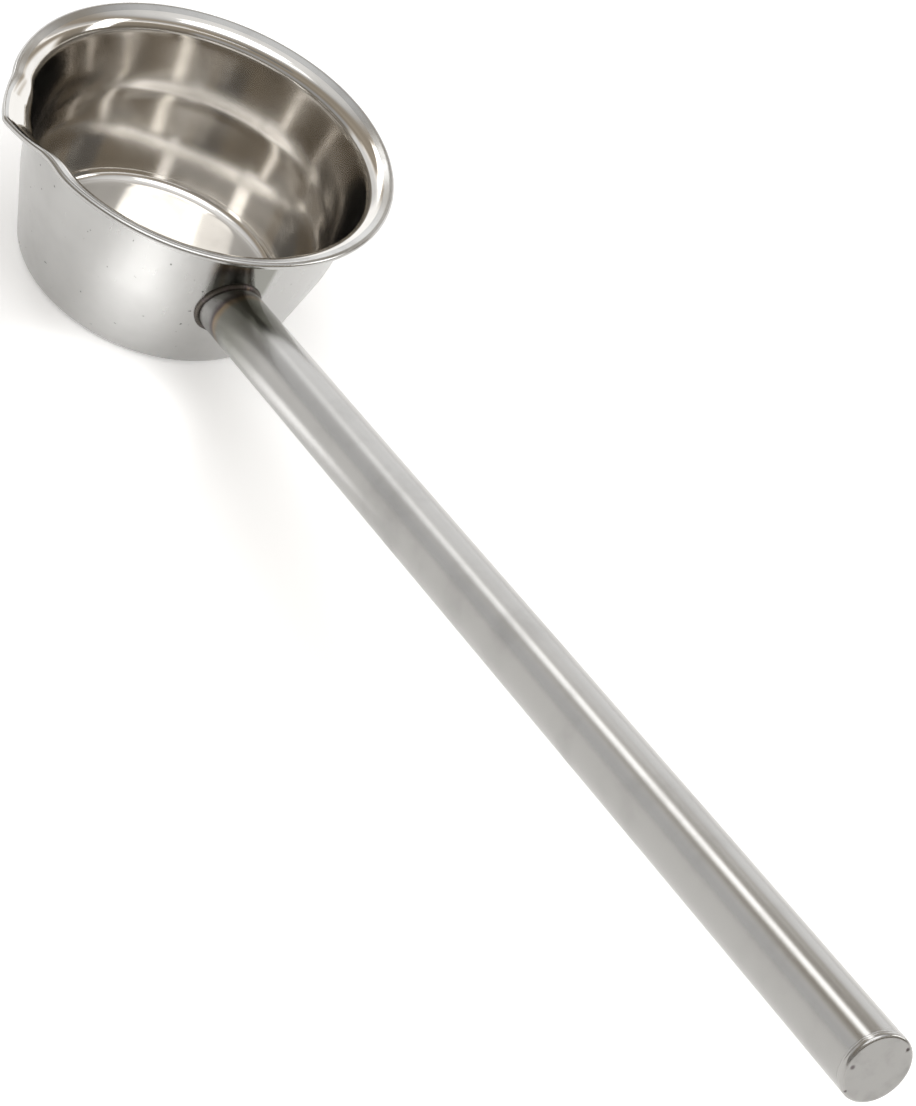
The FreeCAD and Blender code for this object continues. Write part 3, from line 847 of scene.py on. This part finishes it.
class POT_OT_root_weld(bpy.types.Operator):
    """Lay the weld bead round the handle's root"""
    bl_idname = "pot.root_weld"
    bl_label = "Root weld"

    def execute(self, context):
        sizes, tones = context.scene.pot_handle, context.scene.pot_steel
        steps = 480
        proud = 0.2 * MM
        path = [handle_point(sizes, wall_run(sizes, sizes.radius, turn) + proud,
                             sizes.radius + proud, turn) for turn in full_turn(steps)]
        mesh = bpy.data.meshes.new("root_bead")
        mesh.from_pydata(path, [(step, (step + 1) % steps) for step in range(steps)], [])
        scale = weld_scale(tones)
        bead = new_piece("root_bead", mesh, [scale])
        apply_tree(bead, weld_tree(), {
            "Radius": sizes.weld_radius, "Pitch": sizes.ripple_pitch,
            "Ripple": sizes.ripple_height, "Roughness": 0.35 * MM,
            "Steps": float(steps), "Material": scale})
        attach(bead, BODY)
        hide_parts("root_weld")
        return {"FINISHED"}


WHITE = (1.0, 1.0, 1.0)
ZENITH = 90.0

# Brightness of the room at each elevation in degrees.
ROOM_RISE = ((0.0, 0.18), (10.0, 0.20), (18.0, 0.34), (25.0, 0.34), (32.0, 0.46), (37.0, 0.42),
             (42.0, 0.38), (50.0, 0.46), (58.0, 0.80), (70.0, 1.05), (ZENITH, 1.10))

# Soft patches of the room: azimuth, elevation, half width, half height and edge in degrees,
# then brightness.
ROOM_PATCHES = (
    (-60.0, 14.0, 60.0, 6.0, 4.0, 0.45),
    (-42.0, 37.0, 27.0, 3.5, 2.5, 0.22),
    (95.0, 37.5, 90.0, 3.0, 3.0, 0.70),
    (60.0, 33.5, 95.0, 1.2, 1.0, 1.70),
    (160.0, -12.0, 65.0, 35.0, 5.0, 1.40),
    (176.0, 10.0, 20.0, 17.0, 3.0, 1.45),
    (212.0, 0.0, 28.0, 19.0, 6.0, 0.95),
    (186.0, 34.0, 7.0, 11.0, 1.5, 3.20),
    (-82.0, 63.5, 22.0, 4.5, 2.5, 2.00),
    (-17.0, 63.5, 45.0, 4.5, 2.0, 3.20),
)


def room_light(sizes):
    """Room of soft light: it brightens upwards and has patches at set directions."""
    room = bpy.data.worlds.new("room")
    room.use_nodes = True
    room.node_tree.nodes.clear()
    graph = Graph(room.node_tree)
    direction = graph.node("ShaderNodeTexCoord").outputs["Generated"]
    x, y, z = graph.split(direction)
    azimuth = graph.maths("ARCTAN2", y, x) * math.degrees(1.0)
    elevation = graph.maths("ARCSINE", z) * math.degrees(1.0)
    brightest = max(grey for _, grey in ROOM_RISE)
    rise = graph.node("ShaderNodeValToRGB", {"stops": [
        (height / ZENITH, [grey / brightest] * 3) for height, grey in ROOM_RISE]},
        {0: elevation / ZENITH}).outputs["Color"]
    strength = graph.number(graph.node("ShaderNodeRGBToBW", inputs={0: rise}).outputs[0]) * brightest
    untinted = graph.ramp(elevation, 46.0, 56.0)
    for middle, height, half_width, half_height, edge, patch in ROOM_PATCHES:
        turned = graph.maths("ABSOLUTE", graph.maths("WRAP", azimuth - middle, 180.0, -180.0))
        across = graph.ramp(turned, half_width + edge, half_width - edge)
        upright = graph.maths("ABSOLUTE", elevation - height)
        inside = across * graph.ramp(upright, half_height + edge, half_height - edge)
        strength = strength + (patch - strength) * inside
        untinted = graph.maths("MAXIMUM", untinted, inside)
    tone = graph.blend(sizes.room_tone, WHITE, untinted)
    light = graph.node("ShaderNodeBackground", inputs={"Color": tone, "Strength": strength})
    graph.node("ShaderNodeOutputWorld", inputs={"Surface": light.outputs[0]})
    return room


def pale_floor(sizes):
    """Matt pale floor, lit a little from below so that it stays even."""
    material, graph = new_material("pale_floor")
    shader = graph.node("ShaderNodeBsdfPrincipled", inputs={
        "Base Color": sizes.floor_tone, "Roughness": 0.95,
        "Emission Color": WHITE, "Emission Strength": sizes.floor_glow})
    graph.node("ShaderNodeOutputMaterial", inputs={"Surface": shader.outputs[0]})
    return material


def add_lamp(name, azimuth, elevation, distance, aim, size, power, tone):
    """Rectangular lamp placed by its direction from a point, facing that point."""
    turn, tilt = math.radians(azimuth), math.radians(elevation)
    away = Vector((math.cos(tilt) * math.cos(turn), math.cos(tilt) * math.sin(turn), math.sin(tilt)))
    lamp = bpy.data.lights.new(name, "AREA")
    lamp.shape = "RECTANGLE"
    lamp.size, lamp.size_y = size
    lamp.energy = power
    lamp.color = tone
    holder = bpy.data.objects.new(name, lamp)
    holder.location = Vector(aim) + away * distance
    holder.rotation_euler = (-away).to_track_quat("-Z", "Y").to_euler()
    bpy.context.scene.collection.objects.link(holder)


def add_pool(name, place, aim, spread, power):
    """Soft round pool of light on the floor."""
    beam = Vector(aim) - Vector(place)
    lamp = bpy.data.lights.new(name, "SPOT")
    lamp.energy = power
    lamp.spot_size = 2 * math.atan(spread / beam.length)
    lamp.spot_blend = 1.0
    lamp.shadow_soft_size = 0.02
    holder = bpy.data.objects.new(name, lamp)
    holder.location = place
    holder.rotation_euler = beam.to_track_quat("-Z", "Y").to_euler()
    holder.visible_glossy = False
    bpy.context.scene.collection.objects.link(holder)


class POT_OT_stage(bpy.types.Operator):
    """Set the floor, the lamps, the room and the camera"""
    bl_idname = "pot.stage"
    bl_label = "Stage"

    def execute(self, context):
        sizes = context.scene.pot_stage
        half = sizes.floor_half
        mesh = bpy.data.meshes.new("floor")
        mesh.from_pydata([(-half, -half, 0), (half, -half, 0), (half, half, 0), (-half, half, 0)],
                         [], [(0, 1, 2, 3)])
        floor = new_piece("floor", mesh, [pale_floor(sizes)])
        context.scene.world = room_light(sizes)
        middle = (0.15, 0.0, 0.05)
        add_lamp("window", 70.0, 30.0, 1.6, middle, (0.5, 0.9), 4.0, (0.99, 1.0, 1.0))
        add_lamp("overhead", -30.0, 84.0, 1.6, middle, (1.0, 0.5), 3.5, WHITE)
        add_pool("front pool", (0.55, -0.38, 0.80), (0.080, -0.054, 0.0), 0.035, 75.0)
        self.add_camera(context)
        context.scene.view_settings.view_transform = "Standard"
        return {"FINISHED"}

    def add_camera(self, context):
        """Camera set by its place, its aim and its roll."""
        place, aim = Vector((0.90595, -0.54061, 0.81216)), Vector((0.24559, -0.0042, 0.10671))
        forward = (aim - place).normalized()
        right = forward.cross(Vector((0.0, 0.0, 1.0))).normalized()
        level_up = right.cross(forward)
        roll = math.radians(-27.513)
        up = level_up * math.cos(roll) + right * math.sin(roll)
        side = forward.cross(up)
        lens = bpy.data.cameras.new("view")
        lens.lens = 114.715
        lens.clip_start = 0.01
        holder = bpy.data.objects.new("view", lens)
        turned = Matrix((side, up, -forward)).transposed()
        holder.matrix_world = Matrix.Translation(place) @ turned.to_4x4()
        context.scene.collection.objects.link(holder)
        context.scene.camera = holder


class POT_PT_sidebar(bpy.types.Panel):
    """Lists the pieces of the melting pot"""
    bl_label = "Melting Pot"
    bl_idname = "POT_PT_sidebar"
    bl_space_type = "VIEW_3D"
    bl_region_type = "UI"
    bl_category = "Melting Pot"

    def draw(self, context):
        for group in SETTINGS:
            box = self.layout.box()
            for title in SETTINGS[group].__annotations__:
                box.prop(getattr(context.scene, group), title)
        for operator in OPERATORS:
            self.layout.operator(operator.bl_idname)


SETTINGS = {"pot_bowl": BowlSizes, "pot_lip": LipSizes, "pot_handle": HandleSizes,
            "pot_steel": SteelColours, "pot_stage": StageSizes}
OPERATORS = (POT_OT_bowl, POT_OT_handle, POT_OT_cap, POT_OT_root_weld, POT_OT_stage)


def register():
    for kind in (*SETTINGS.values(), *OPERATORS, POT_PT_sidebar):
        bpy.utils.register_class(kind)
    for name, kind in SETTINGS.items():
        setattr(bpy.types.Scene, name, PointerProperty(type=kind))


def unregister():
    for name in SETTINGS:
        delattr(bpy.types.Scene, name)
    for kind in (POT_PT_sidebar, *reversed(OPERATORS), *reversed(SETTINGS.values())):
        bpy.utils.unregister_class(kind)


def main():
    register()
    bpy.ops.pot.bowl()
    bpy.ops.pot.handle()
    bpy.ops.pot.cap()
    bpy.ops.pot.root_weld()
    bpy.ops.pot.stage()


if __name__ == "__main__":
    main()
